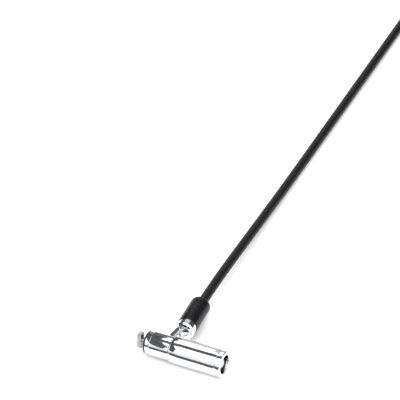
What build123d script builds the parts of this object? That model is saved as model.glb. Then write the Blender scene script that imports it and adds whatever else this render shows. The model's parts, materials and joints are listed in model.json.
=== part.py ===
from build123d import *
import math
import os

# Laptop cable lock, in millimetres.
# The origin is the centre of the face that seats on the device.
# +X runs along the barrel to the key end, +Y towards the cable, +Z up.
# The lock lies on a surface one barrel radius below the origin.

# ---- Driving dimensions: barrel and neck ----
BARREL_R = 5.2
BARREL_BORE_R = 4.3
BARREL_START = 11.0
BARREL_WALL = 2.6
BARREL_END = 30.3
BEZEL_END = 32.6
SURFACE_Z = -BARREL_R
SEAM_CHAMFER = 0.15

FLANGE_R = 4.3
PAD_THICKNESS = 0.8
PAD_HOLE_R = 3.35
FLANGE_END = 2.3
NECK_R = 3.0

# ---- Locking tip and its spindle ----
SPINDLE_R = 1.38
SPINDLE_HOLE_R = 1.45
SPINDLE_END = 25.0
HEAD_HALF_LENGTH = 3.2
HEAD_WIDTH = 2.6
HEAD_START = -4.0
HEAD_END = -2.2
GUARD_PIN_R = 0.75
GUARD_PIN_Y = 2.35
GUARD_PIN_START = -2.0

# ---- Swivel collar and cable pivot ----
COLLAR_R = 4.7
COLLAR_BORE_R = 3.05
COLLAR_START = 2.4
COLLAR_END = 10.7
PIVOT_X = 9.4
PIVOT_Y = 9.0
EAR_R = 3.1
EAR_BALL_R = 4.1
EAR_GAP_HALF = 2.05
EAR_GAP_START = 5.2
RIVET_R = 1.3
RIVET_HALF_LENGTH = 4.1
RIVET_HOLE_R = 1.35
TONGUE_HALF = 1.75
TONGUE_R = 3.0
WASHER_THICKNESS = 0.2
WASHER_R = 2.7

# ---- Cable fitting, measured from the pivot along its own leaning axis ----
FITTING_LEAN = 8.5
SOCKET_R = 3.85
SOCKET_START = 3.6
SOCKET_END = 7.0
SOCKET_NECK_R = 3.1
SOCKET_NECK_END = 14.0
BOOT_R = 4.0
BOOT_END = 24.7
CRIMP_R = 2.4
CRIMP_START = 6.0
WIRE_R = 1.5
STRIPPED_END = 15.2

# ---- Tubular pin lock ----
PIN_COUNT = 8
PIN_CIRCLE_R = 2.8
PIN_R = 0.5
CHAMBER_R = 0.53
HOUSING_START = 13.8
CHAMBER_START = 16.5
SPRING_END = 19.45
SHEAR_LINE = 22.0
SHEAR_GAP = 0.02
PLUG_R = 4.25
PLUG_END = 26.5
KEY_PIN_END = 25.5
POST_R = 1.95
POST_END = 31.4
KEY_HOLE_R = 3.65
SPIGOT_START = 26.6

# ---- Cable ----
CABLE_D = 3.8
CABLE_R = CABLE_D / 2
CABLE_Z = SURFACE_Z + CABLE_R
COIL_X = -3.04
COIL_Y = 330.0
COIL_COLUMNS = 3
COIL_LAYERS = 3
COIL_MIDDLE_R = 22.0
EYE_Z = 8.7
LANE_GAP = 3.9
TURN_POINTS = 12

os.makedirs("parts", exist_ok=True)


def finish(piece, label):
    """Name a piece and write it."""
    piece.part.label = label
    export_step(piece.part, f"parts/{label}.step")


# ======================= Face pad and neck =======================

with BuildPart() as face_pad:
    with BuildSketch(Plane.YZ):
        Circle(FLANGE_R)
        Circle(PAD_HOLE_R, mode=Mode.SUBTRACT)
    extrude(amount=PAD_THICKNESS)
    fillet(face_pad.edges().group_by(Axis.X)[0].sort_by(SortBy.RADIUS)[-1], 0.25)
finish(face_pad, "face_pad")

# The neck goes through the barrel's end wall, and its flange bears on the device.
NECK_END = BARREL_START + BARREL_WALL
NECK_PIN_R = 0.6
NECK_PIN_X = 12.4
with BuildPart() as nose_sleeve:
    with BuildSketch(Plane.XY):
        with BuildLine():
            Polyline(
                (PAD_THICKNESS, SPINDLE_HOLE_R),
                (PAD_THICKNESS, FLANGE_R),
                (FLANGE_END, FLANGE_R),
                (FLANGE_END, NECK_R),
                (NECK_END, NECK_R),
                (NECK_END, SPINDLE_HOLE_R),
                close=True,
            )
        make_face()
    revolve(axis=Axis.X)
    with BuildSketch(Plane.YZ):
        with Locations((GUARD_PIN_Y, 0), (-GUARD_PIN_Y, 0)):
            Circle(GUARD_PIN_R)
    extrude(amount=FLANGE_END, mode=Mode.SUBTRACT)
    with BuildSketch(Plane.XY.offset(-NECK_R)):
        with Locations((NECK_PIN_X, 0)):
            Circle(NECK_PIN_R)
    extrude(amount=NECK_R - SPINDLE_HOLE_R - 0.4, mode=Mode.SUBTRACT)
finish(nose_sleeve, "nose_sleeve")

# Two fixed pins fill the ends of the device's slot and stop the lock from turning.
with BuildPart() as anti_rotation_pins:
    with BuildSketch(Plane.YZ.offset(GUARD_PIN_START)):
        with Locations((GUARD_PIN_Y, 0), (-GUARD_PIN_Y, 0)):
            Circle(GUARD_PIN_R)
    extrude(amount=FLANGE_END - GUARD_PIN_START)
    chamfer(anti_rotation_pins.edges().group_by(Axis.X)[0], 0.2)
finish(anti_rotation_pins, "anti_rotation_pins")

# ======================= Barrel =======================

with BuildPart() as barrel_shell:
    with BuildSketch(Plane.XY):
        with BuildLine():
            Polyline(
                (BARREL_START, NECK_R),
                (BARREL_START, BARREL_R),
                (BARREL_END, BARREL_R),
                (BARREL_END, BARREL_BORE_R),
                (NECK_END, BARREL_BORE_R),
                (NECK_END, NECK_R),
                close=True,
            )
        make_face()
    revolve(axis=Axis.X)
    outer_edges = barrel_shell.edges().filter_by(GeomType.CIRCLE).sort_by(SortBy.RADIUS)[-2:]
    chamfer(outer_edges.sort_by(Axis.X)[0], 0.45)
    outer_rim = barrel_shell.edges().filter_by(GeomType.CIRCLE).sort_by(SortBy.RADIUS)[-2:]
    chamfer(outer_rim.sort_by(Axis.X)[-1], SEAM_CHAMFER)
    with BuildSketch(Plane.XY.offset(-BARREL_R)):
        with Locations((NECK_PIN_X, 0)):
            Circle(NECK_PIN_R)
    extrude(amount=BARREL_R - NECK_R + 0.2, mode=Mode.SUBTRACT)
    HOUSING_PIN_R = 0.75
    HOUSING_PIN_X = 15.2
    with BuildSketch(Plane.XY.offset(-BARREL_R)):
        with Locations((HOUSING_PIN_X, 0)):
            Circle(HOUSING_PIN_R)
    extrude(amount=BARREL_R - BARREL_BORE_R + 0.2, mode=Mode.SUBTRACT)
finish(barrel_shell, "barrel_shell")

# A pin from below holds the neck in the barrel's end wall.
PIN_RECESS = 0.1
with BuildPart() as nose_pin:
    with BuildSketch(Plane.XY.offset(-BARREL_R + PIN_RECESS)):
        with Locations((NECK_PIN_X, 0)):
            Circle(NECK_PIN_R)
    extrude(amount=BARREL_R - PIN_RECESS - SPINDLE_HOLE_R - 0.45)
finish(nose_pin, "nose_pin")

# A larger one holds the pin housing.
HOUSING_PIN_DEPTH = 1.8
with BuildPart() as housing_pin:
    with BuildSketch(Plane.XY.offset(-BARREL_R + PIN_RECESS)):
        with Locations((HOUSING_PIN_X, 0)):
            Circle(HOUSING_PIN_R)
    extrude(amount=BARREL_R - PIN_RECESS - BARREL_BORE_R + HOUSING_PIN_DEPTH - 0.05)
finish(housing_pin, "housing_pin")

# The bezel closes the barrel, keeps the plug in, and has the notch for the key's nib.
NOTCH_WIDTH = 1.5
NOTCH_R = 4.4
FACE_CHAMFER = 0.4
with BuildPart() as front_bezel:
    with BuildSketch(Plane.XY):
        with BuildLine():
            Polyline(
                (SPIGOT_START, KEY_HOLE_R),
                (SPIGOT_START, BARREL_BORE_R),
                (BARREL_END, BARREL_BORE_R),
                (BARREL_END, BARREL_R - SEAM_CHAMFER),
                (BARREL_END + SEAM_CHAMFER, BARREL_R),
                (BEZEL_END - FACE_CHAMFER, BARREL_R),
                (BEZEL_END, BARREL_R - FACE_CHAMFER),
                (BEZEL_END, KEY_HOLE_R + 0.25),
                (BEZEL_END - 0.25, KEY_HOLE_R),
                close=True,
            )
        make_face()
    revolve(axis=Axis.X)
    with BuildSketch(Plane.YZ.offset(BARREL_END)):
        with Locations((0, NOTCH_R / 2)):
            Rectangle(NOTCH_WIDTH, NOTCH_R)
    extrude(amount=BEZEL_END - BARREL_END, mode=Mode.SUBTRACT)
finish(front_bezel, "front_bezel")

# ======================= Pin lock =======================

with BuildPart() as pin_housing:
    with BuildSketch(Plane.YZ.offset(HOUSING_START)):
        Circle(BARREL_BORE_R)
        Circle(SPINDLE_HOLE_R, mode=Mode.SUBTRACT)
    extrude(amount=SHEAR_LINE - SHEAR_GAP - HOUSING_START)
    with BuildSketch(Plane.YZ.offset(CHAMBER_START)):
        with PolarLocations(PIN_CIRCLE_R, PIN_COUNT):
            Circle(CHAMBER_R)
    extrude(amount=SHEAR_LINE - CHAMBER_START, mode=Mode.SUBTRACT)
    with BuildSketch(Plane.XY.offset(-BARREL_BORE_R)):
        with Locations((HOUSING_PIN_X, 0)):
            Circle(HOUSING_PIN_R)
    extrude(amount=HOUSING_PIN_DEPTH, mode=Mode.SUBTRACT)
finish(pin_housing, "pin_housing")

SPRING_WALL = 0.14
with BuildPart() as pin_springs:
    with BuildSketch(Plane.YZ.offset(CHAMBER_START)):
        with PolarLocations(PIN_CIRCLE_R, PIN_COUNT):
            Circle(PIN_R)
            Circle(PIN_R - SPRING_WALL, mode=Mode.SUBTRACT)
    extrude(amount=SPRING_END - CHAMBER_START)
finish(pin_springs, "pin_springs")

with BuildPart() as driver_pins:
    with BuildSketch(Plane.YZ.offset(SPRING_END)):
        with PolarLocations(PIN_CIRCLE_R, PIN_COUNT):
            Circle(PIN_R)
    extrude(amount=SHEAR_LINE - SHEAR_GAP - SPRING_END)
finish(driver_pins, "driver_pins")

with BuildPart() as key_pins:
    with BuildSketch(Plane.YZ.offset(SHEAR_LINE + SHEAR_GAP)):
        with PolarLocations(PIN_CIRCLE_R, PIN_COUNT):
            Circle(PIN_R)
    extrude(amount=KEY_PIN_END - SHEAR_LINE - SHEAR_GAP)
    fillet(key_pins.edges().group_by(Axis.X)[-1], 0.2)
finish(key_pins, "key_pins")

POST_SHANK_R = 1.2
POST_SHANK_START = 25.2
SPINDLE_PIN_R = 0.4
SPINDLE_PIN_X = 24.2
SPINDLE_PIN_ANGLE = 180 / PIN_COUNT
with BuildPart() as lock_plug:
    with BuildSketch(Plane.YZ.offset(SHEAR_LINE)):
        Circle(PLUG_R)
    extrude(amount=PLUG_END - SHEAR_LINE)
    with BuildSketch(Plane.YZ.offset(POST_SHANK_START)):
        Circle(POST_SHANK_R)
    extrude(amount=PLUG_END - POST_SHANK_START, mode=Mode.SUBTRACT)
    with BuildSketch(Plane.YZ.offset(SHEAR_LINE)):
        with PolarLocations(PIN_CIRCLE_R, PIN_COUNT):
            Circle(CHAMBER_R)
    extrude(amount=PLUG_END - SHEAR_LINE, mode=Mode.SUBTRACT)
    with BuildSketch(Plane.YZ.offset(SHEAR_LINE)):
        Circle(SPINDLE_R)
    extrude(amount=SPINDLE_END - SHEAR_LINE, mode=Mode.SUBTRACT)
    pin_plane = Plane.XY.rotated((-SPINDLE_PIN_ANGLE, 0, 0))
    with BuildSketch(pin_plane):
        with Locations((SPINDLE_PIN_X, 0)):
            Circle(SPINDLE_PIN_R)
    extrude(amount=PLUG_R, both=True, mode=Mode.SUBTRACT)
finish(lock_plug, "lock_plug")

# The tubular key slides over the post, and its nib turns the plug by the post's groove.
POST_GROOVE_WIDTH = 0.9
POST_GROOVE_DEPTH = 0.5
with BuildPart() as key_post:
    with BuildSketch(Plane.YZ.offset(POST_SHANK_START)):
        Circle(POST_SHANK_R)
    extrude(amount=PLUG_END - POST_SHANK_START)
    with BuildSketch(Plane.YZ.offset(PLUG_END)):
        Circle(POST_R)
    extrude(amount=POST_END - PLUG_END)
    chamfer(key_post.edges().group_by(Axis.X)[-1], 0.25)
    with BuildSketch(Plane.YZ.offset(PLUG_END)):
        with Locations((0, POST_R)):
            Rectangle(POST_GROOVE_WIDTH, 2 * POST_GROOVE_DEPTH)
    extrude(amount=POST_END - PLUG_END, mode=Mode.SUBTRACT)
finish(key_post, "key_post")

with BuildPart() as t_bar_spindle:
    with BuildSketch(Plane.YZ.offset(HEAD_START)):
        Circle(HEAD_HALF_LENGTH)
        Rectangle(HEAD_WIDTH, 2 * HEAD_HALF_LENGTH, mode=Mode.INTERSECT)
    extrude(amount=HEAD_END - HEAD_START)
    fillet(t_bar_spindle.edges().group_by(Axis.X)[0], 0.35)
    with BuildSketch(Plane.YZ.offset(HEAD_END)):
        Circle(SPINDLE_R - 0.08)
    extrude(amount=-HEAD_END)
    with BuildSketch(Plane.YZ):
        Circle(SPINDLE_R)
    extrude(amount=SPINDLE_END)
    with BuildSketch(pin_plane):
        with Locations((SPINDLE_PIN_X, 0)):
            Circle(SPINDLE_PIN_R)
    extrude(amount=PLUG_R, both=True, mode=Mode.SUBTRACT)
finish(t_bar_spindle, "t_bar_spindle")

with BuildPart() as spindle_pin:
    with BuildSketch(pin_plane):
        with Locations((SPINDLE_PIN_X, 0)):
            Circle(SPINDLE_PIN_R)
    extrude(amount=PLUG_R - 0.15, both=True)
finish(spindle_pin, "spindle_pin")

# ======================= Swivel =======================

WASHER_GAP = 0.05
with BuildPart() as swivel_washer:
    with BuildSketch(Plane.YZ.offset(COLLAR_END + WASHER_GAP)):
        Circle(COLLAR_R - 0.2)
        Circle(NECK_R, mode=Mode.SUBTRACT)
    extrude(amount=BARREL_START - COLLAR_END - WASHER_GAP)
finish(swivel_washer, "swivel_washer")

# A ring round the neck, with two rounded ears beside the cable's tongue.
# The ears stop short of the barrel's end, except where they are already outside its radius.
EAR_ROOT_Y = 2.0
EAR_CLEAR_Y = 6.3
EAR_CUT_SIZE = 12.5
with BuildPart() as swivel_collar:
    with BuildSketch(Plane.XY):
        with BuildLine():
            Polyline(
                (PIVOT_X, PIVOT_Y + EAR_BALL_R),
                (PIVOT_X, EAR_ROOT_Y),
                (PIVOT_X + EAR_BALL_R, EAR_ROOT_Y),
                (PIVOT_X + EAR_BALL_R, PIVOT_Y),
            )
            CenterArc((PIVOT_X, PIVOT_Y), EAR_BALL_R, 0, 90)
        make_face()
    revolve(axis=Axis((PIVOT_X, 0, 0), (0, 1, 0)))
    with BuildSketch(Plane.XY):
        with BuildLine():
            Polyline(
                (PIVOT_X - EAR_R, PIVOT_Y),
                (PIVOT_X - EAR_R - 0.6, EAR_ROOT_Y),
                (COLLAR_END, EAR_ROOT_Y),
                (COLLAR_END, EAR_CLEAR_Y),
                (PIVOT_X + EAR_R, PIVOT_Y),
            )
            CenterArc((PIVOT_X, PIVOT_Y), EAR_R, 0, 180)
        make_face()
    extrude(amount=EAR_BALL_R, both=True, mode=Mode.INTERSECT)
    with BuildSketch(Plane.XY):
        with BuildLine():
            Polyline(
                (COLLAR_START, 0),
                (COLLAR_START, COLLAR_R - 0.3),
                (COLLAR_START + 0.3, COLLAR_R),
                (COLLAR_END - 0.2, COLLAR_R),
                (COLLAR_END, COLLAR_R - 0.2),
                (COLLAR_END, 0),
                close=True,
            )
        make_face()
    revolve(axis=Axis.X)
    with BuildSketch(Plane.XY):
        with Locations((PIVOT_X, EAR_GAP_START + EAR_CUT_SIZE / 2)):
            Rectangle(EAR_CUT_SIZE, EAR_CUT_SIZE)
    extrude(amount=EAR_GAP_HALF, both=True, mode=Mode.SUBTRACT)
    with BuildSketch(Plane.XY):
        with Locations((PIVOT_X, PIVOT_Y)):
            Circle(RIVET_R)
    extrude(amount=EAR_BALL_R, both=True, mode=Mode.SUBTRACT)
    with BuildSketch(Plane.YZ):
        Circle(COLLAR_BORE_R)
    extrude(amount=COLLAR_END, mode=Mode.SUBTRACT)
finish(swivel_collar, "swivel_collar")

with BuildPart() as pivot_rivet:
    with BuildSketch(Plane.XY):
        with Locations((PIVOT_X, PIVOT_Y)):
            Circle(RIVET_R)
    extrude(amount=RIVET_HALF_LENGTH, both=True)
    fillet(pivot_rivet.edges().filter_by(GeomType.CIRCLE), 0.25)
finish(pivot_rivet, "pivot_rivet")

WASHER_Z = (EAR_GAP_HALF + TONGUE_HALF - WASHER_THICKNESS) / 2
with BuildPart() as pivot_washers:
    for base in (WASHER_Z, -WASHER_Z - WASHER_THICKNESS):
        with BuildSketch(Plane.XY.offset(base)):
            with Locations((PIVOT_X, PIVOT_Y)):
                Circle(WASHER_R)
                Circle(RIVET_R, mode=Mode.SUBTRACT)
        extrude(amount=WASHER_THICKNESS)
finish(pivot_washers, "pivot_washers")

# ======================= Cable fitting =======================

lean = math.radians(FITTING_LEAN)
fitting_dir = Vector(-math.sin(lean), math.cos(lean), 0)
pivot = Vector(PIVOT_X, PIVOT_Y, 0)
fitting_axis = Axis(pivot, fitting_dir)
# In this plane x is the distance from the pivot and y the distance from the fitting's axis.
fitting_plane = Plane(origin=pivot, x_dir=fitting_dir, z_dir=(0, 0, 1))

with BuildPart() as cable_socket:
    with BuildSketch(fitting_plane):
        with BuildLine():
            Polyline(
                (SOCKET_START, 0),
                (SOCKET_START, SOCKET_R - 0.5),
                (SOCKET_START + 0.5, SOCKET_R),
                (SOCKET_END, SOCKET_R),
                (SOCKET_END, SOCKET_NECK_R),
                (SOCKET_NECK_END, SOCKET_NECK_R),
                (SOCKET_NECK_END, CRIMP_R),
                (CRIMP_START, CRIMP_R),
                (CRIMP_START, 0),
                close=True,
            )
        make_face()
    revolve(axis=fitting_axis)
    with BuildSketch(fitting_plane):
        Circle(TONGUE_R)
        with Locations(((SOCKET_START + 0.4) / 2, 0)):
            Rectangle(SOCKET_START + 0.4, 2 * TONGUE_R)
        Circle(RIVET_HOLE_R, mode=Mode.SUBTRACT)
    extrude(amount=TONGUE_HALF, both=True)
finish(cable_socket, "cable_socket")

with BuildPart() as crimp_sleeve:
    with BuildSketch(fitting_plane):
        with Locations(((CRIMP_START + 0.2 + SOCKET_NECK_END) / 2, (CRIMP_R + WIRE_R) / 2)):
            Rectangle(SOCKET_NECK_END - CRIMP_START - 0.2, CRIMP_R - WIRE_R)
    revolve(axis=fitting_axis)
finish(crimp_sleeve, "crimp_sleeve")

# The boot is moulded over the socket's neck, and its far end is a low dome round the cable.
DOME_LENGTH = 1.6
BOOT_LIP_R = 2.9
with BuildPart() as cable_boot:
    with BuildSketch(fitting_plane):
        with BuildLine():
            Polyline(
                (BOOT_END, BOOT_LIP_R),
                (BOOT_END, CABLE_R),
                (STRIPPED_END, CABLE_R),
                (STRIPPED_END, WIRE_R),
                (SOCKET_NECK_END, WIRE_R),
                (SOCKET_NECK_END, SOCKET_NECK_R),
                (SOCKET_END, SOCKET_NECK_R),
                (SOCKET_END, BOOT_R - 0.2),
                (SOCKET_END + 0.2, BOOT_R),
                (BOOT_END - DOME_LENGTH, BOOT_R),
            )
            ThreePointArc(
                (BOOT_END - DOME_LENGTH, BOOT_R),
                (BOOT_END - 0.45, BOOT_R - 0.5),
                (BOOT_END, BOOT_LIP_R),
            )
        make_face()
    revolve(axis=fitting_axis)
finish(cable_boot, "cable_boot")

with BuildPart() as cable_end:
    with BuildSketch(fitting_plane):
        with BuildLine():
            Polyline(
                (CRIMP_START + 0.2, 0),
                (CRIMP_START + 0.2, WIRE_R),
                (STRIPPED_END, WIRE_R),
                (STRIPPED_END, CABLE_R),
                (BOOT_END, CABLE_R),
                (BOOT_END, 0),
                close=True,
            )
        make_face()
    revolve(axis=fitting_axis)
finish(cable_end, "cable_end")

# ======================= Free cable =======================

# Straight out of the boot, slowly down to the surface, then straight to the coil.
exit_point = pivot + fitting_dir * BOOT_END
route = [
    (exit_point.X, exit_point.Y, 0.0),
    (3.0, 52.0, -0.4),
    (-1.15, 88.0, -1.6),
    (-6.8, 136.0, CABLE_Z),
    (-26.08, 311.7, CABLE_Z),
]


def corner_radii(points):
    """The largest arc that each corner's two runs leave room for."""
    corners = [Vector(*point) for point in points]
    radii = []
    for before, corner, after in zip(corners, corners[1:], corners[2:]):
        inward = corner - before
        outward = after - corner
        half_turn = math.radians(inward.get_angle(outward)) / 2
        radii.append(0.45 * min(inward.length, outward.length) / math.tan(half_turn))
    return radii


def cable_tube(label, points):
    """A tube of straight runs joined by tangent arcs."""
    radii = corner_radii(points)
    with BuildPart() as tube:
        with BuildLine():
            centre = FilletPolyline(*points, radius=radii)
        with BuildSketch(Plane(origin=centre @ 0, z_dir=centre % 0)):
            Circle(CABLE_R)
        sweep(path=centre)
    expected = math.pi * CABLE_R**2 * centre.length
    print(label, "radii", [round(radius, 1) for radius in radii])
    print(label, "length", round(centre.length, 1), "volume ratio", tube.part.volume / expected)
    finish(tube, label)
    return centre.length


def coil_point(angle, radius, height):
    """A place on a turn: angle 0 is nearest the lock's cable, and turns run clockwise from above."""
    turn = math.radians(angle)
    return (COIL_X - radius * math.cos(turn), COIL_Y + radius * math.sin(turn), height)


def turn_angle(index):
    """The angle of a turn's corner, half a step after its start."""
    return (index + 0.5) * 360 / TURN_POINTS


run_length = cable_tube("cable_run", route)

# The stored length is a tied round coil, and its solid is the outer shape of the turns.
coil_inner_r = COIL_MIDDLE_R - COIL_COLUMNS * CABLE_R
coil_outer_r = COIL_MIDDLE_R + COIL_COLUMNS * CABLE_R
coil_height = COIL_LAYERS * CABLE_D
TIE_WIDTH = 10.0
TIE_THICKNESS = 0.6
tie_top = EYE_Z + CABLE_R + TIE_THICKNESS
tie_inner_x = math.sqrt(coil_inner_r**2 - (TIE_WIDTH / 2) ** 2)
tie_window = coil_outer_r - tie_inner_x
tie_plane = Plane(origin=(COIL_X, COIL_Y - TIE_WIDTH / 2, 0), x_dir=(1, 0, 0), z_dir=(0, 1, 0))

with BuildPart() as coil_tie:
    with BuildSketch(tie_plane):
        with Locations((tie_inner_x + tie_window / 2, -(SURFACE_Z + tie_top) / 2)):
            RectangleRounded(tie_window + 2 * TIE_THICKNESS, tie_top - SURFACE_Z, 1.2)
            RectangleRounded(
                tie_window, tie_top - SURFACE_Z - 2 * TIE_THICKNESS, 0.6, mode=Mode.SUBTRACT
            )
    extrude(amount=TIE_WIDTH)
finish(coil_tie, "coil_tie")

with BuildPart() as cable_coil:
    with BuildSketch(Plane.XY.offset(SURFACE_Z)):
        with Locations((COIL_X, COIL_Y)):
            Circle(coil_outer_r)
            Circle(coil_inner_r, mode=Mode.SUBTRACT)
    extrude(amount=coil_height)
    with BuildSketch(Plane.XY.offset(SURFACE_Z)):
        with Locations((COIL_X + COIL_MIDDLE_R, COIL_Y)):
            Rectangle(COIL_MIDDLE_R, TIE_WIDTH)
    extrude(amount=2 * TIE_THICKNESS, mode=Mode.SUBTRACT)
finish(cable_coil, "cable_coil")

# The tail climbs from the coil's inner top turn and lies on the coil up to the ferrule.
# The anchor loop is one more turn, just outside the tail, and ends beside it in the ferrule.
inner_turn_r = COIL_MIDDLE_R - CABLE_D
TAIL_END_R = inner_turn_r + 0.4
TAIL_RISE_START = 45
TAIL_RISE_END = 165
EYE_SPREAD_END = 420
top_turn_z = CABLE_Z + (COIL_LAYERS - 1) * CABLE_D


def ease(value):
    """A smooth step from 0 to 1."""
    clipped = min(1, max(0, value))
    return clipped * clipped * (3 - 2 * clipped)


tail = [coil_point(turn_angle(-1), inner_turn_r / math.cos(math.pi / TURN_POINTS), top_turn_z)]
for index in range(2 * TURN_POINTS):
    angle = turn_angle(index)
    lift = ease((angle - TAIL_RISE_START) / (TAIL_RISE_END - TAIL_RISE_START))
    circle_r = inner_turn_r + (TAIL_END_R - inner_turn_r) * ease((angle - 180) / 150)
    circle_r += LANE_GAP * ease((angle - 360) / (EYE_SPREAD_END - 360))
    corner_r = circle_r / math.cos(math.pi / TURN_POINTS)
    tail.append(coil_point(angle, corner_r, top_turn_z + (EYE_Z - top_turn_z) * lift))
eye_end_r = TAIL_END_R + LANE_GAP
tail.append((COIL_X - eye_end_r, COIL_Y + eye_end_r * math.tan(math.pi / TURN_POINTS), EYE_Z))
tail_length = cable_tube("cable_tail", tail)

FERRULE_LENGTH = 13.0
FERRULE_R = 2.5
ferrule_x = COIL_X - TAIL_END_R - LANE_GAP / 2
ferrule_plane = Plane(
    origin=(ferrule_x, COIL_Y - FERRULE_LENGTH / 2, EYE_Z), x_dir=(1, 0, 0), z_dir=(0, 1, 0)
)
with BuildPart() as loop_ferrule:
    with BuildSketch(ferrule_plane):
        SlotCenterToCenter(LANE_GAP, 2 * FERRULE_R)
    extrude(amount=FERRULE_LENGTH)
    fillet(loop_ferrule.faces().filter_by(Plane.XZ).edges(), 0.4)
    with BuildSketch(ferrule_plane):
        with Locations((LANE_GAP / 2, 0), (-LANE_GAP / 2, 0)):
            Circle(CABLE_R)
    extrude(amount=FERRULE_LENGTH, mode=Mode.SUBTRACT)
finish(loop_ferrule, "loop_ferrule")

coiled_length = 2 * math.pi * COIL_MIDDLE_R * COIL_COLUMNS * COIL_LAYERS
print("cable length", round(run_length + coiled_length + tail_length))
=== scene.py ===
import json
import math
import bmesh
import bpy
from mathutils import Matrix, Vector


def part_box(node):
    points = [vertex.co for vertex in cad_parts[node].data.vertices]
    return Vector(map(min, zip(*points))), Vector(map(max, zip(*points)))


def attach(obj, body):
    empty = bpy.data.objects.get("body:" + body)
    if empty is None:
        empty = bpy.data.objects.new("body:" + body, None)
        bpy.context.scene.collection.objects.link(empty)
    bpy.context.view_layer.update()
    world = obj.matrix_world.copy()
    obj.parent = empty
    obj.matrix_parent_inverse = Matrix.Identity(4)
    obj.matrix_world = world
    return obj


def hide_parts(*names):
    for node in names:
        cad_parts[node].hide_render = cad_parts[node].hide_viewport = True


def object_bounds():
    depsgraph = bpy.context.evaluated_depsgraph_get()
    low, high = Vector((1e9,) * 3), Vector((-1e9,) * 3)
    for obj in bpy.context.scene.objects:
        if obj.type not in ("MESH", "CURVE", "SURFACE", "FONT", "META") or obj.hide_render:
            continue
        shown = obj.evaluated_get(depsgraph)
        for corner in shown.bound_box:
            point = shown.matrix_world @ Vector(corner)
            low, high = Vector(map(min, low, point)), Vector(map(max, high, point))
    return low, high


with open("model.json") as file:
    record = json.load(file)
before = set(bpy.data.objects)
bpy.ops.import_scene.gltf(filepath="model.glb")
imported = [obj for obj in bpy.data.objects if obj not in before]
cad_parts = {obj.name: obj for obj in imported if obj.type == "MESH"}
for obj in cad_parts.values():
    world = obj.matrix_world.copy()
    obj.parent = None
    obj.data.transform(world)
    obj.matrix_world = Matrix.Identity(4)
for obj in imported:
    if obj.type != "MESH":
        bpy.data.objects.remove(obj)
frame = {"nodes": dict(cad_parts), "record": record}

# Everything is in metres, in the CAD model's frame, unless it says millimetres.
CAD_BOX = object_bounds()
MM = 0.001
RECORD = frame["record"]
NODES = frame["nodes"]
SURFACE_Z = CAD_BOX[0].z

# ---------------------------------------------------------------- camera

# The camera stands where the photograph's stood and looks at the lock's head with a longer lens.
CAMERA_PLACE = Vector((0.4572, -0.8873, 0.6520))
# The level line across the photograph, which also sets this picture's slight roll.
LEVEL_LINE = Vector((0.8747, 0.4848, 0.0))
# The point at the picture's centre, at the height of the barrel's axis.
AIM_POINT = Vector((-0.0303, 0.1033, 0.0))
LENS = 283.9
SENSOR = 36.0


def make_camera():
    """The photograph's viewpoint, aimed so that the cable leaves at the right edge."""
    data = bpy.data.cameras.new("camera")
    camera = bpy.data.objects.new("camera", data)
    bpy.context.scene.collection.objects.link(camera)
    data.lens = LENS
    data.sensor_width = SENSOR
    data.clip_start = 0.05
    data.clip_end = 20.0
    back = (CAMERA_PLACE - AIM_POINT).normalized()
    right = (LEVEL_LINE - back * LEVEL_LINE.dot(back)).normalized()
    up = back.cross(right)
    camera.matrix_world = Matrix.Translation(CAMERA_PLACE) @ Matrix(
        (right, up, back)
    ).transposed().to_4x4()
    bpy.context.scene.camera = camera


make_camera()

# ---------------------------------------------------------------- cord

CABLE_D = 3.8 * MM
CABLE_R = CABLE_D / 2
CABLE_Z = SURFACE_Z + CABLE_R
COIL_CENTRE = (-3.04 * MM, 330.0 * MM)
COIL_MIDDLE_R = 22.0 * MM
TURN_POINTS = 12
LAYERS = 3
# Each turn's last quarter leads into the next turn: its start and its span, in degrees.
STEP_ARC = (270, 90)
# The tail lies beside itself in two lanes, at the height of the anchor loop.
LANE_GAP = 3.9 * MM
EYE_Z = 8.7 * MM
TAIL_SPREAD = 0.4 * MM
# Where the tail rises to that height, where it spreads, and where it changes lane.
TAIL_RISE_ARC = (45, 120)
TAIL_SPREAD_ARC = (180, 150)
TAIL_LANE_ARC = (360, 60)
CABLE_STEP = 1.1 * MM

# Out of the boot, slowly down to the surface, then straight to the coil, in millimetres.
ROUTE = [
    (5.749, 33.429, 0.0),
    (3.0, 52.0, -0.4),
    (-1.15, 88.0, -1.6),
    (-6.8, 136.0, -3.3),
    (-12.08, 184.07, -3.3),
    (-26.08, 311.7, -3.3),
]


def ease(value):
    """A smooth step from 0 to 1."""
    clipped = min(1.0, max(0.0, value))
    return clipped * clipped * (3 - 2 * clipped)


def along_arc(angle, arc):
    """A smooth step from 0 to 1 over an arc, given as its start and its span in degrees."""
    start, span = arc
    return ease((angle - start) / span)


def coil_point(angle, circle_r, height):
    """A corner of a turn. Angle 0 is nearest the lock's cable, and turns run clockwise from above."""
    turn = math.radians(angle)
    corner_r = circle_r / math.cos(math.pi / TURN_POINTS)
    return Vector(
        (
            COIL_CENTRE[0] - corner_r * math.cos(turn),
            COIL_CENTRE[1] + corner_r * math.sin(turn),
            height,
        )
    )


def turn_angle(index):
    """The angle of a turn's corner, half a step after its start."""
    return (index + 0.5) * 360 / TURN_POINTS


def coil_points():
    """Three layers of three turns, inwards, outwards and inwards, each a diameter higher."""
    columns = [COIL_MIDDLE_R + CABLE_D, COIL_MIDDLE_R, COIL_MIDDLE_R - CABLE_D]
    turns = []
    for layer in range(LAYERS):
        order = columns if layer % 2 == 0 else columns[::-1]
        turns += [(radius, CABLE_Z + layer * CABLE_D) for radius in order]
    points = []
    for number, (radius, height) in enumerate(turns):
        next_radius, next_height = turns[min(number + 1, len(turns) - 1)]
        for index in range(TURN_POINTS):
            step = along_arc(turn_angle(index), STEP_ARC)
            circle_r = radius + (next_radius - radius) * step
            lift = height + (next_height - height) * step
            points.append(coil_point(turn_angle(index), circle_r, lift))
    return points


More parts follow.
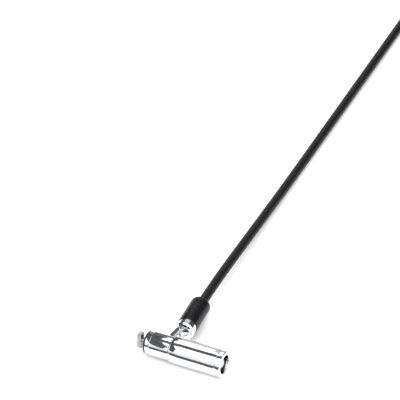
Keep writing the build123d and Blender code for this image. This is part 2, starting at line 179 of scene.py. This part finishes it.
def tail_points():
    """Up from the inner top turn, once round to the ferrule, and once more as the anchor loop."""
    inner_r = COIL_MIDDLE_R - CABLE_D
    top_z = CABLE_Z + (LAYERS - 1) * CABLE_D
    points = []
    for index in range(2 * TURN_POINTS):
        angle = turn_angle(index)
        circle_r = inner_r + TAIL_SPREAD * along_arc(angle, TAIL_SPREAD_ARC)
        circle_r += LANE_GAP * along_arc(angle, TAIL_LANE_ARC)
        height = top_z + (EYE_Z - top_z) * along_arc(angle, TAIL_RISE_ARC)
        points.append(coil_point(angle, circle_r, height))
    end_r = inner_r + TAIL_SPREAD + LANE_GAP
    rise = end_r * math.tan(math.pi / TURN_POINTS)
    points.append(Vector((COIL_CENTRE[0] - end_r, COIL_CENTRE[1] + rise, EYE_Z)))
    return points


def spline_points(points):
    """The points of one smooth NURBS line that has the route's points as its controls."""
    curve = bpy.data.curves.new("route", "CURVE")
    curve.dimensions = "3D"
    spline = curve.splines.new("NURBS")
    spline.points.add(len(points) - 1)
    for target, point in zip(spline.points, points):
        target.co = (*point, 1.0)
    spline.order_u = 3
    spline.use_endpoint_u = True
    spline.resolution_u = 12
    holder = bpy.data.objects.new("route", curve)
    bpy.context.scene.collection.objects.link(holder)
    bpy.context.view_layer.update()
    line = bpy.data.meshes.new_from_object(holder)
    path = [vertex.co.copy() for vertex in line.vertices]
    bpy.data.objects.remove(holder)
    bpy.data.curves.remove(curve)
    bpy.data.meshes.remove(line)
    return path


def even_steps(path, step):
    """The same line with its points an even step apart."""
    spaced = [path[0]]
    carried = 0.0
    for start, end in zip(path, path[1:]):
        length = (end - start).length
        reach = step - carried
        while reach <= length:
            spaced.append(start.lerp(end, reach / length))
            reach += step
        carried = length - (reach - step)
    spaced.append(path[-1])
    return spaced


def new_piece(name, mesh_maker, smooth=True):
    """An object whose mesh is made by a function that fills a bmesh."""
    mesh = bpy.data.meshes.new(name)
    shape = bmesh.new()
    mesh_maker(shape)
    bmesh.ops.recalc_face_normals(shape, faces=shape.faces)
    shape.to_mesh(mesh)
    shape.free()
    for polygon in mesh.polygons:
        polygon.use_smooth = smooth
    piece = bpy.data.objects.new(name, mesh)
    bpy.context.scene.collection.objects.link(piece)
    return piece


TUBE_SIDES = 24
STRANDS = 6
STRAND_PITCH = 0.024
STRAND_RIPPLE = 0.022 * MM


def skin_rings(shape, rings):
    """The skin of a tube over its rings, with both ends closed."""
    sides = len(rings[0])
    for ring, after in zip(rings, rings[1:]):
        for index in range(sides):
            beside = (index + 1) % sides
            shape.faces.new((ring[index], ring[beside], after[beside], after[index]))
    shape.faces.new(rings[0][::-1])
    shape.faces.new(rings[-1])


def fill_cable(shape, path):
    """A tube round the path, with the faint spiral that the wire strands press into the jacket."""
    travel = 0.0
    side = Vector((0, 0, 1))
    rings = []
    for number, place in enumerate(path):
        ahead = path[min(number + 1, len(path) - 1)]
        behind = path[max(number - 1, 0)]
        along = (ahead - behind).normalized()
        side = (side - along * side.dot(along)).normalized()
        other = along.cross(side)
        if number:
            travel += (place - path[number - 1]).length
        ring = []
        for index in range(TUBE_SIDES):
            angle = 2 * math.pi * index / TUBE_SIDES
            phase = STRANDS * (angle - 2 * math.pi * travel / STRAND_PITCH)
            radius = CABLE_R - STRAND_RIPPLE * (1 - math.cos(phase))
            offset = side * math.cos(angle) + other * math.sin(angle)
            ring.append(shape.verts.new(place + offset * radius))
        rings.append(ring)
    skin_rings(shape, rings)


cable_controls = [Vector(point) * MM for point in ROUTE] + coil_points() + tail_points()
cable_line = even_steps(spline_points(cable_controls), CABLE_STEP)
cable = new_piece("security_cable", lambda shape: fill_cable(shape, cable_line))
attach(cable, "cable")
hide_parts("cable_run", "cable_coil", "cable_tail")

# ---------------------------------------------------------------- materials

NOISE_LOW = 0.3
NOISE_HIGH = 0.7


class Recipe:
    """A material with its shader and short ways to add nodes to it."""

    def __init__(self, name, colour, roughness, metallic=0.0):
        self.material = bpy.data.materials.new(name)
        self.material.use_nodes = True
        self.nodes = self.material.node_tree.nodes
        self.links = self.material.node_tree.links
        self.shader = self.nodes["Principled BSDF"]
        self.shader.inputs["Base Color"].default_value = (*colour, 1.0)
        self.shader.inputs["Roughness"].default_value = roughness
        self.shader.inputs["Metallic"].default_value = metallic
        self.place = self.nodes.new("ShaderNodeTexCoord").outputs["Object"]

    def stretched(self, scale):
        """The object's own coordinates, scaled apart along each axis."""
        mapping = self.nodes.new("ShaderNodeMapping")
        mapping.inputs["Scale"].default_value = scale
        self.links.new(self.place, mapping.inputs["Vector"])
        return mapping.outputs["Vector"]

    def noise(self, scale, detail=3.0, vector=None):
        """A noise value; scale is in features per metre."""
        node = self.nodes.new("ShaderNodeTexNoise")
        node.inputs["Scale"].default_value = scale
        node.inputs["Detail"].default_value = detail
        self.links.new(vector or self.place, node.inputs["Vector"])
        return node.outputs["Fac"]

    def to_range(self, value, low, high):
        """A noise value, most of which lies between NOISE_LOW and NOISE_HIGH, moved into a range."""
        node = self.nodes.new("ShaderNodeMapRange")
        node.inputs["From Min"].default_value = NOISE_LOW
        node.inputs["From Max"].default_value = NOISE_HIGH
        node.inputs["To Min"].default_value = low
        node.inputs["To Max"].default_value = high
        self.links.new(value, node.inputs["Value"])
        return node.outputs["Result"]

    def vary_colour(self, value, first, second):
        """Base colour between two colours."""
        node = self.nodes.new("ShaderNodeMix")
        node.data_type = "RGBA"
        colours = [socket for socket in node.inputs if socket.type == "RGBA"]
        colours[0].default_value = (*first, 1.0)
        colours[1].default_value = (*second, 1.0)
        self.links.new(value, node.inputs["Factor"])
        result = [socket for socket in node.outputs if socket.type == "RGBA"][0]
        self.links.new(result, self.shader.inputs["Base Color"])

    def vary_roughness(self, value, low, high):
        """Roughness between two values."""
        self.links.new(self.to_range(value, low, high), self.shader.inputs["Roughness"])

    def bump(self, value, distance, strength=1.0):
        """Fine relief in metres."""
        node = self.nodes.new("ShaderNodeBump")
        node.inputs["Distance"].default_value = distance
        node.inputs["Strength"].default_value = strength
        self.links.new(value, node.inputs["Height"])
        before = self.shader.inputs["Normal"].links
        if before:
            self.links.new(before[0].from_socket, node.inputs["Normal"])
        self.links.new(node.outputs["Normal"], self.shader.inputs["Normal"])


def chrome_material():
    """Bright plating over a die-cast body: a faint waviness, hairlines and a few dull patches."""
    recipe = Recipe("polished_chrome", (0.86, 0.87, 0.89), 0.06, 1.0)
    recipe.vary_colour(recipe.noise(260), (0.83, 0.84, 0.86), (0.90, 0.905, 0.915))
    recipe.vary_roughness(recipe.noise(420, 5.0), 0.07, 0.12)
    recipe.bump(recipe.noise(180, 2.0), 0.012 * MM, 0.2)
    recipe.bump(recipe.noise(900, 2.0, recipe.stretched((0.25, 6.0, 6.0))), 0.001 * MM, 0.2)
    return recipe.material


def turned_material(name, colour, darker, roughness):
    """Machined metal with fine tool marks."""
    recipe = Recipe(name, colour, roughness, 1.0)
    marks = recipe.noise(1500, 3.0, recipe.stretched((6.0, 1.0, 1.0)))
    recipe.vary_colour(recipe.noise(500, 4.0), darker, colour)
    recipe.vary_roughness(marks, roughness * 0.75, roughness * 1.3)
    recipe.bump(marks, 0.01 * MM, 0.5)
    return recipe.material


def jacket_material():
    """Black vinyl over wire rope: semi-gloss, with drawn streaks and light handling marks."""
    recipe = Recipe("cable_jacket", (0.005, 0.005, 0.006), 0.34)
    recipe.shader.inputs["Specular IOR Level"].default_value = 0.08
    recipe.vary_colour(recipe.noise(700, 4.0), (0.004, 0.004, 0.005), (0.009, 0.009, 0.010))
    recipe.vary_roughness(recipe.noise(1200, 5.0), 0.27, 0.46)
    recipe.bump(recipe.noise(3500, 3.0), 0.015 * MM, 0.4)
    return recipe.material


def boot_material():
    """Black moulded plastic with a satin face and slight sink marks."""
    recipe = Recipe("boot_plastic", (0.005, 0.005, 0.006), 0.3)
    recipe.shader.inputs["Specular IOR Level"].default_value = 0.09
    recipe.vary_colour(recipe.noise(500, 4.0), (0.004, 0.004, 0.005), (0.008, 0.008, 0.009))
    recipe.vary_roughness(recipe.noise(900, 4.0), 0.22, 0.36)
    recipe.bump(recipe.noise(5000, 2.0), 0.012 * MM, 0.5)
    recipe.bump(recipe.noise(140, 1.0), 0.05 * MM, 0.3)
    return recipe.material


def rubber_material():
    """Matt black rubber."""
    recipe = Recipe("black_rubber", (0.018, 0.018, 0.018), 0.7)
    recipe.vary_colour(recipe.noise(900, 5.0), (0.012, 0.012, 0.012), (0.030, 0.030, 0.030))
    recipe.vary_roughness(recipe.noise(1500), 0.62, 0.85)
    recipe.bump(recipe.noise(6000, 4.0), 0.03 * MM, 0.6)
    return recipe.material


def tie_material():
    """Woven hook-and-loop tape: fine loops over a black ground."""
    recipe = Recipe("tie_fabric", (0.015, 0.015, 0.016), 0.9)
    weave = recipe.nodes.new("ShaderNodeTexVoronoi")
    weave.inputs["Scale"].default_value = 2600
    recipe.links.new(recipe.place, weave.inputs["Vector"])
    recipe.vary_colour(weave.outputs["Distance"], (0.030, 0.030, 0.032), (0.008, 0.008, 0.009))
    recipe.bump(weave.outputs["Distance"], 0.12 * MM, 0.8)
    recipe.bump(recipe.noise(5000, 5.0), 0.06 * MM, 0.6)
    recipe.shader.inputs["Sheen Weight"].default_value = 0.25
    recipe.shader.inputs["Sheen Roughness"].default_value = 0.5
    return recipe.material


MATERIALS = {
    "polished_chrome": chrome_material(),
    "satin_steel": turned_material("satin_steel", (0.60, 0.60, 0.61), (0.48, 0.48, 0.49), 0.26),
    "hard_steel": turned_material("hard_steel", (0.42, 0.42, 0.44), (0.30, 0.30, 0.32), 0.30),
    "spring_steel": turned_material("spring_steel", (0.50, 0.50, 0.52), (0.4, 0.4, 0.42), 0.22),
    "brass": turned_material("brass", (0.78, 0.58, 0.26), (0.62, 0.44, 0.18), 0.26),
    "black_rubber": rubber_material(),
    "boot_plastic": boot_material(),
    "cable_jacket": jacket_material(),
    "tie_fabric": tie_material(),
}


def paint(piece, slot_name):
    """Give a piece one of the materials."""
    piece.data.materials.clear()
    piece.data.materials.append(MATERIALS[slot_name])


for subpart in RECORD["subparts"]:
    paint(NODES[subpart["node"]], subpart["material_slot"])
paint(cable, "cable_jacket")

# ---------------------------------------------------------------- turned shells

LATHE_STEPS = 160
# In millimetres: places along the barrel's axis from the device's face, and radii round it.
BARREL_START = 11.0
NECK_END = 13.6
SEAM_X = 30.3
KEY_END = 32.6
SPIGOT_START = 26.6
BARREL_R = 5.2
BORE_R = 4.3
NECK_R = 3.0
KEY_HOLE_R = 3.65
# The seam between the barrel and the bezel is a groove with rounded lips.
LIP_R = BARREL_R - 0.16


def turned_column(shape, profile, angle):
    """The vertices of a profile of (X, radius) points in millimetres, at one angle round the axis."""
    column = []
    for x, radius in profile:
        place = (x, radius * math.cos(angle), radius * math.sin(angle))
        column.append(shape.verts.new(Vector(place) * MM))
    return column


def join_columns(shape, columns):
    """Faces between neighbouring columns of a closed profile, all the way round."""
    for number, column in enumerate(columns):
        beside = columns[(number + 1) % len(columns)]
        for index in range(len(column)):
            after = (index + 1) % len(column)
            shape.faces.new((column[index], column[after], beside[after], beside[index]))


def fill_lathe(shape, profile, steps):
    """A closed profile turned round the barrel's axis."""
    angles = [2 * math.pi * step / steps for step in range(steps)]
    join_columns(shape, [turned_column(shape, profile, angle) for angle in angles])


def sharpen(piece, limit):
    """Keep the shading smooth except over edges sharper than a limit in degrees."""
    shape = bmesh.new()
    shape.from_mesh(piece.data)
    for edge in shape.edges:
        edge.smooth = edge.calc_face_angle(0.0) < math.radians(limit)
    shape.to_mesh(piece.data)
    shape.free()


# The three rings along the straight side keep its reflections straight.
BARREL_PROFILE = [
    (BARREL_START, NECK_R),
    (BARREL_START, BARREL_R - 0.45),
    (BARREL_START + 0.06, BARREL_R - 0.30),
    (BARREL_START + 0.30, BARREL_R - 0.06),
    (BARREL_START + 0.45, BARREL_R),
    (15.0, BARREL_R),
    (20.0, BARREL_R),
    (25.0, BARREL_R),
    (SEAM_X - 0.18, BARREL_R),
    (SEAM_X - 0.10, BARREL_R - 0.03),
    (SEAM_X - 0.03, BARREL_R - 0.09),
    (SEAM_X, LIP_R),
    (SEAM_X, BORE_R),
    (NECK_END, BORE_R),
    (NECK_END, NECK_R),
]
barrel = new_piece("turned_barrel", lambda shape: fill_lathe(shape, BARREL_PROFILE, LATHE_STEPS))
sharpen(barrel, limit=50)
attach(barrel, "barrel")
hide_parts("barrel_shell")
paint(barrel, "polished_chrome")

NOTCH_WIDTH = 1.5
NOTCH_R = 4.4
BEZEL_OUTSIDE = [
    (SPIGOT_START, BORE_R),
    (SEAM_X, BORE_R),
    (SEAM_X, LIP_R),
    (SEAM_X + 0.03, BARREL_R - 0.09),
    (SEAM_X + 0.10, BARREL_R - 0.03),
    (SEAM_X + 0.18, BARREL_R),
    (KEY_END - 0.35, BARREL_R),
    (KEY_END - 0.18, BARREL_R - 0.05),
    (KEY_END - 0.05, BARREL_R - 0.18),
    (KEY_END, BARREL_R - 0.36),
]
# The hole's wall from the key end inwards: X, and how much wider its rounded mouth is.
BEZEL_HOLE = [
    (KEY_END, 0.15),
    (KEY_END - 0.06, 0.066),
    (KEY_END - 0.25, 0.0),
    (SEAM_X, 0.0),
    (SPIGOT_START, 0.0),
]


def fill_bezel(shape):
    """The key end's ring, with a notch beside the keyhole for the key's nib."""
    notch_half = math.asin(NOTCH_WIDTH / 2 / NOTCH_R)
    columns = []
    for step in range(LATHE_STEPS):
        angle = 2 * math.pi * step / LATHE_STEPS
        from_notch = abs((angle + math.pi) % (2 * math.pi) - math.pi)
        profile = list(BEZEL_OUTSIDE)
        for x, widening in BEZEL_HOLE:
            opened = from_notch < notch_half and x >= SEAM_X
            profile.append((x, (NOTCH_R if opened else KEY_HOLE_R) + widening))
        columns.append(turned_column(shape, profile, angle))
    join_columns(shape, columns)


bezel = new_piece("turned_bezel", fill_bezel)
sharpen(bezel, limit=40)
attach(bezel, "barrel")
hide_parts("front_bezel")
paint(bezel, "polished_chrome")

PIN_STEPS = 32
# Both pins are pressed in from below and finished just proud of the barrel.
PIN_LOW_END = -BARREL_R - 0.005
# Each pin's node, its place along the barrel, its radius and the height of its top.
PRESSED_PINS = [
    ("nose_pin", 12.4, 0.6, -1.9),
    ("housing_pin", 15.2, 0.75, -2.55),
]


def fill_pin(shape, x, radius, top):
    """A turned pin that stands across the barrel, with a rounded low end."""
    profile = [
        (PIN_LOW_END, 0.0),
        (PIN_LOW_END, radius * 0.7),
        (PIN_LOW_END + 0.04, radius * 0.95),
        (PIN_LOW_END + 0.12, radius),
        (top, radius),
        (top, 0.0),
    ]
    fill_lathe(shape, profile, PIN_STEPS)
    bmesh.ops.remove_doubles(shape, verts=shape.verts, dist=0.001 * MM)
    upright = Matrix.Rotation(-math.pi / 2, 4, "Y")
    bmesh.ops.transform(shape, matrix=upright, verts=shape.verts)
    bmesh.ops.translate(shape, vec=(x * MM, 0, 0), verts=shape.verts)


for pin_name, pin_x, pin_r, pin_top in PRESSED_PINS:
    pin = new_piece("pressed_" + pin_name, lambda shape: fill_pin(shape, pin_x, pin_r, pin_top))
    sharpen(pin, limit=40)
    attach(pin, "barrel")
    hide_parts(pin_name)
    paint(pin, "hard_steel")

# ---------------------------------------------------------------- ferrule and tie

FERRULE_LENGTH = 13.0 * MM
FERRULE_R = 2.5 * MM
FERRULE_STEPS = 52
FERRULE_SIDES = 40
# The ends are rounded over this length, by this much.
FERRULE_EDGE = 0.5 * MM
FERRULE_ROUNDING = 0.35 * MM
CRIMPS = 3
CRIMP_SPACING = 3.6 * MM
CRIMP_DEPTH = 0.22 * MM
CRIMP_WIDTH = 1.7 * MM
# How soon a crimp's side reaches its flat bottom, and how narrow the waist between the lanes is.
CRIMP_STEEPNESS = 1.6
WAIST_STEEPNESS = 8


def fill_ferrule(shape):
    """A double-barrel sleeve, pressed at three places."""
    low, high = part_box("loop_ferrule")
    centre = (low + high) / 2
    half = FERRULE_LENGTH / 2
    rings = []
    for step in range(FERRULE_STEPS + 1):
        along = -half + FERRULE_LENGTH * step / FERRULE_STEPS
        edge = min(1.0, (half - abs(along)) / FERRULE_EDGE)
        rounding = FERRULE_ROUNDING * (1 - math.sqrt(max(0.0, 1 - (1 - edge) ** 2)))
        dent = 0.0
        for crimp in range(CRIMPS):
            offset = (crimp - (CRIMPS - 1) / 2) * CRIMP_SPACING
            nearness = max(0.0, 1 - abs(along - offset) / CRIMP_WIDTH)
            dent = max(dent, CRIMP_DEPTH * ease(nearness * CRIMP_STEEPNESS))
        radius = FERRULE_R - rounding
        ring = []
        for index in range(FERRULE_SIDES):
            angle = 2 * math.pi * index / FERRULE_SIDES
            waist = min(1.0, abs(math.cos(angle)) * WAIST_STEEPNESS)
            shift = math.copysign(LANE_GAP / 2, math.cos(angle))
            across = shift * waist + radius * math.cos(angle)
            height = (radius - dent) * math.sin(angle)
            ring.append(shape.verts.new(centre + Vector((across, along, height))))
        rings.append(ring)
    skin_rings(shape, rings)


ferrule = new_piece("crimped_ferrule", fill_ferrule)
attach(ferrule, "cable")
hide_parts("loop_ferrule")
paint(ferrule, "satin_steel")

TIE_THICKNESS = 0.6 * MM
TIE_CORNER_R = 1.0 * MM
TIE_CORNER_STEPS = 6
TIE_STEP = 0.5 * MM
TIE_ACROSS_STEPS = 10
# The end climbs over the start between these two places, and stops short of the corner.
TIE_CLIMB_X = 1.6 * MM
TIE_LEVEL_X = 3.0 * MM
TIE_END_GAP = 0.6 * MM
TIE_CLIMB_DROP = 0.1 * MM
# The tape thins towards its edges, and its loops stand up a little unevenly.
TIE_EDGE_THINNING = 0.45
TIE_FUZZ = 0.03 * MM
FUZZ_ALONG = 2.1
FUZZ_ACROSS = 1.7


def rounded_loop(low_x, high_x, low_z, high_z, radius, steps):
    """Points of a rounded rectangle, clockwise from the middle of its top."""
    corners = [(high_x, high_z, 90), (high_x, low_z, 0), (low_x, low_z, -90), (low_x, high_z, 180)]
    inward = [(-1, -1), (-1, 1), (1, 1), (1, -1)]
    points = [((low_x + high_x) / 2, high_z)]
    for (x, z, start), (in_x, in_z) in zip(corners, inward):
        for step in range(steps + 1):
            angle = math.radians(start - 90 * step / steps)
            centre = (x + in_x * radius, z + in_z * radius)
            points.append(
                (centre[0] + radius * math.cos(angle), centre[1] + radius * math.sin(angle))
            )
    points.append(((low_x + high_x) / 2, high_z))
    return points


def tie_line(low, high):
    """The middle of the tape's thickness, once round the bundle and over its own start."""
    half = TIE_THICKNESS / 2
    loop = rounded_loop(
        low.x + half, high.x - half, low.z + half, high.z - half, TIE_CORNER_R, TIE_CORNER_STEPS
    )
    line = [Vector((x, 0, z)) for x, z in loop]
    above = high.z + half
    middle_x = line[0].x
    line.append(Vector((middle_x + TIE_CLIMB_X, 0, above - TIE_CLIMB_DROP)))
    line.append(Vector((middle_x + TIE_LEVEL_X, 0, above)))
    line.append(Vector((high.x - TIE_END_GAP, 0, above)))
    return even_steps(line, TIE_STEP)


def skin_tape(shape, tops, bottoms):
    """Faces over a tape's two sides, its two edges and its two ends."""
    last = len(tops) - 1
    for number in range(last):
        for step in range(TIE_ACROSS_STEPS):
            for rows in (tops, bottoms):
                row, after = rows[number], rows[number + 1]
                shape.faces.new((row[step], row[step + 1], after[step + 1], after[step]))
        top, top_after = tops[number], tops[number + 1]
        bottom, bottom_after = bottoms[number], bottoms[number + 1]
        for step in (0, TIE_ACROSS_STEPS):
            shape.faces.new((top[step], top_after[step], bottom_after[step], bottom[step]))
    for number in (0, last):
        top, bottom = tops[number], bottoms[number]
        for step in range(TIE_ACROSS_STEPS):
            shape.faces.new((top[step], bottom[step], bottom[step + 1], top[step + 1]))


def fill_tie(shape):
    """A tape once round the bundle, with its end pressed down over its start."""
    low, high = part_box("coil_tie")
    middle_y = (low.y + high.y) / 2
    half_width = (high.y - low.y) / 2
    half = TIE_THICKNESS / 2
    line = tie_line(low, high)
    tops = []
    bottoms = []
    for number, place in enumerate(line):
        ahead = line[min(number + 1, len(line) - 1)]
        behind = line[max(number - 1, 0)]
        along = (ahead - behind).normalized()
        outward = Vector((-along.z, 0, along.x))
        top_row = []
        bottom_row = []
        for step in range(TIE_ACROSS_STEPS + 1):
            share = 2 * step / TIE_ACROSS_STEPS - 1
            thin = 1 - TIE_EDGE_THINNING * abs(share) ** 6
            fuzz = TIE_FUZZ * math.sin(number * FUZZ_ALONG + step * FUZZ_ACROSS)
            middle = Vector((0, middle_y + half_width * share, 0)) + place
            top_row.append(shape.verts.new(middle + outward * (half * thin + fuzz)))
            bottom_row.append(shape.verts.new(middle - outward * half * thin))
        tops.append(top_row)
        bottoms.append(bottom_row)
    skin_tape(shape, tops, bottoms)


tie = new_piece("hook_and_loop_tie", fill_tie)
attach(tie, "cable")
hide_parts("coil_tie")
paint(tie, "tie_fabric")

# ---------------------------------------------------------------- stage and light

FLOOR_REACH = 3.0
CARD_ROUGHNESS = 0.9
LIGHT_TARGET = Vector((0.0, 0.05, 0.0))


def make_stage():
    """A plain pale floor that runs far out of view."""
    reach = FLOOR_REACH
    corners = [(-reach, -reach), (reach, -reach), (reach, reach), (-reach, reach)]

    def fill(shape):
        shape.faces.new([shape.verts.new((x, y, SURFACE_Z)) for x, y in corners])

    floor = new_piece("floor", fill)
    recipe = Recipe("floor_paper", (0.92, 0.92, 0.92), 0.75)
    recipe.vary_colour(recipe.noise(35, 4.0), (0.91, 0.91, 0.91), (0.93, 0.93, 0.93))
    floor.data.materials.append(recipe.material)


def make_card(name, first, opposite, grey):
    """A matt card that only reflections see, level or upright, given two opposite corners."""
    low = Vector(first)
    high = Vector(opposite)
    faces_x = low.x == high.x
    second = Vector((low.x, high.y, low.z)) if faces_x else Vector((high.x, low.y, low.z))
    corners = [low, second, high, low + high - second]
    card = new_piece(
        name, lambda shape: shape.faces.new([shape.verts.new(corner) for corner in corners])
    )
    card.data.materials.append(Recipe(name, (grey, grey, grey), CARD_ROUGHNESS).material)
    card.visible_camera = False
    card.visible_shadow = False
    card.visible_diffuse = False


def make_light(name, place, size, power):
    """A square soft light, aimed at the lock."""
    data = bpy.data.lights.new(name, "AREA")
    data.shape = "SQUARE"
    data.size = size
    data.energy = power
    lamp = bpy.data.objects.new(name, data)
    bpy.context.scene.collection.objects.link(lamp)
    away = Vector(place) - LIGHT_TARGET
    lamp.matrix_world = Matrix.Translation(place) @ away.to_track_quat("Z", "Y").to_matrix().to_4x4()


def make_world():
    """An even bright surround."""
    world = bpy.data.worlds.new("surround")
    world.use_nodes = True
    shade = world.node_tree.nodes["Background"]
    shade.inputs["Color"].default_value = (1.0, 1.0, 1.0, 1.0)
    shade.inputs["Strength"].default_value = 1.0
    bpy.context.scene.world = world


make_stage()
# A dark strip overhead and a painted shadow lying across the table in front draw the barrel's two
# dark lines.
make_card("overhead_card", (-0.6, -0.18, 0.5), (0.6, 0.05, 0.5), 0.05)
make_card("painted_shadow_card", (-0.5, -0.3, -0.0045), (0.5, -0.016, -0.0045), 0.02)
# A grey wall behind shades the barrel's top edge.
make_card("back_card", (-1.5, 0.75, 0.05), (0.12, 0.75, 1.2), 0.32)
# The dark side of the room keeps the right of the boot and the cable black.
make_card("side_card", (0.12, 0.75, 0.0), (1.6, 0.75, 1.2), 0.03)
# The dark side of the device that the lock is fitted to.
make_card("device_card", (0.0, -0.025, 0.0055), (0.0, 0.03, 0.021), 0.03)
make_light("key_light", (-0.5, -0.4, 1.1), size=2.0, power=9.0)
make_light("fill_light", (0.9, -0.5, 0.8), size=1.5, power=12.0)
make_light("back_light", (-0.30, 0.85, 0.62), size=0.5, power=4.5)
make_world()
bpy.context.scene.view_settings.view_transform = "Standard"
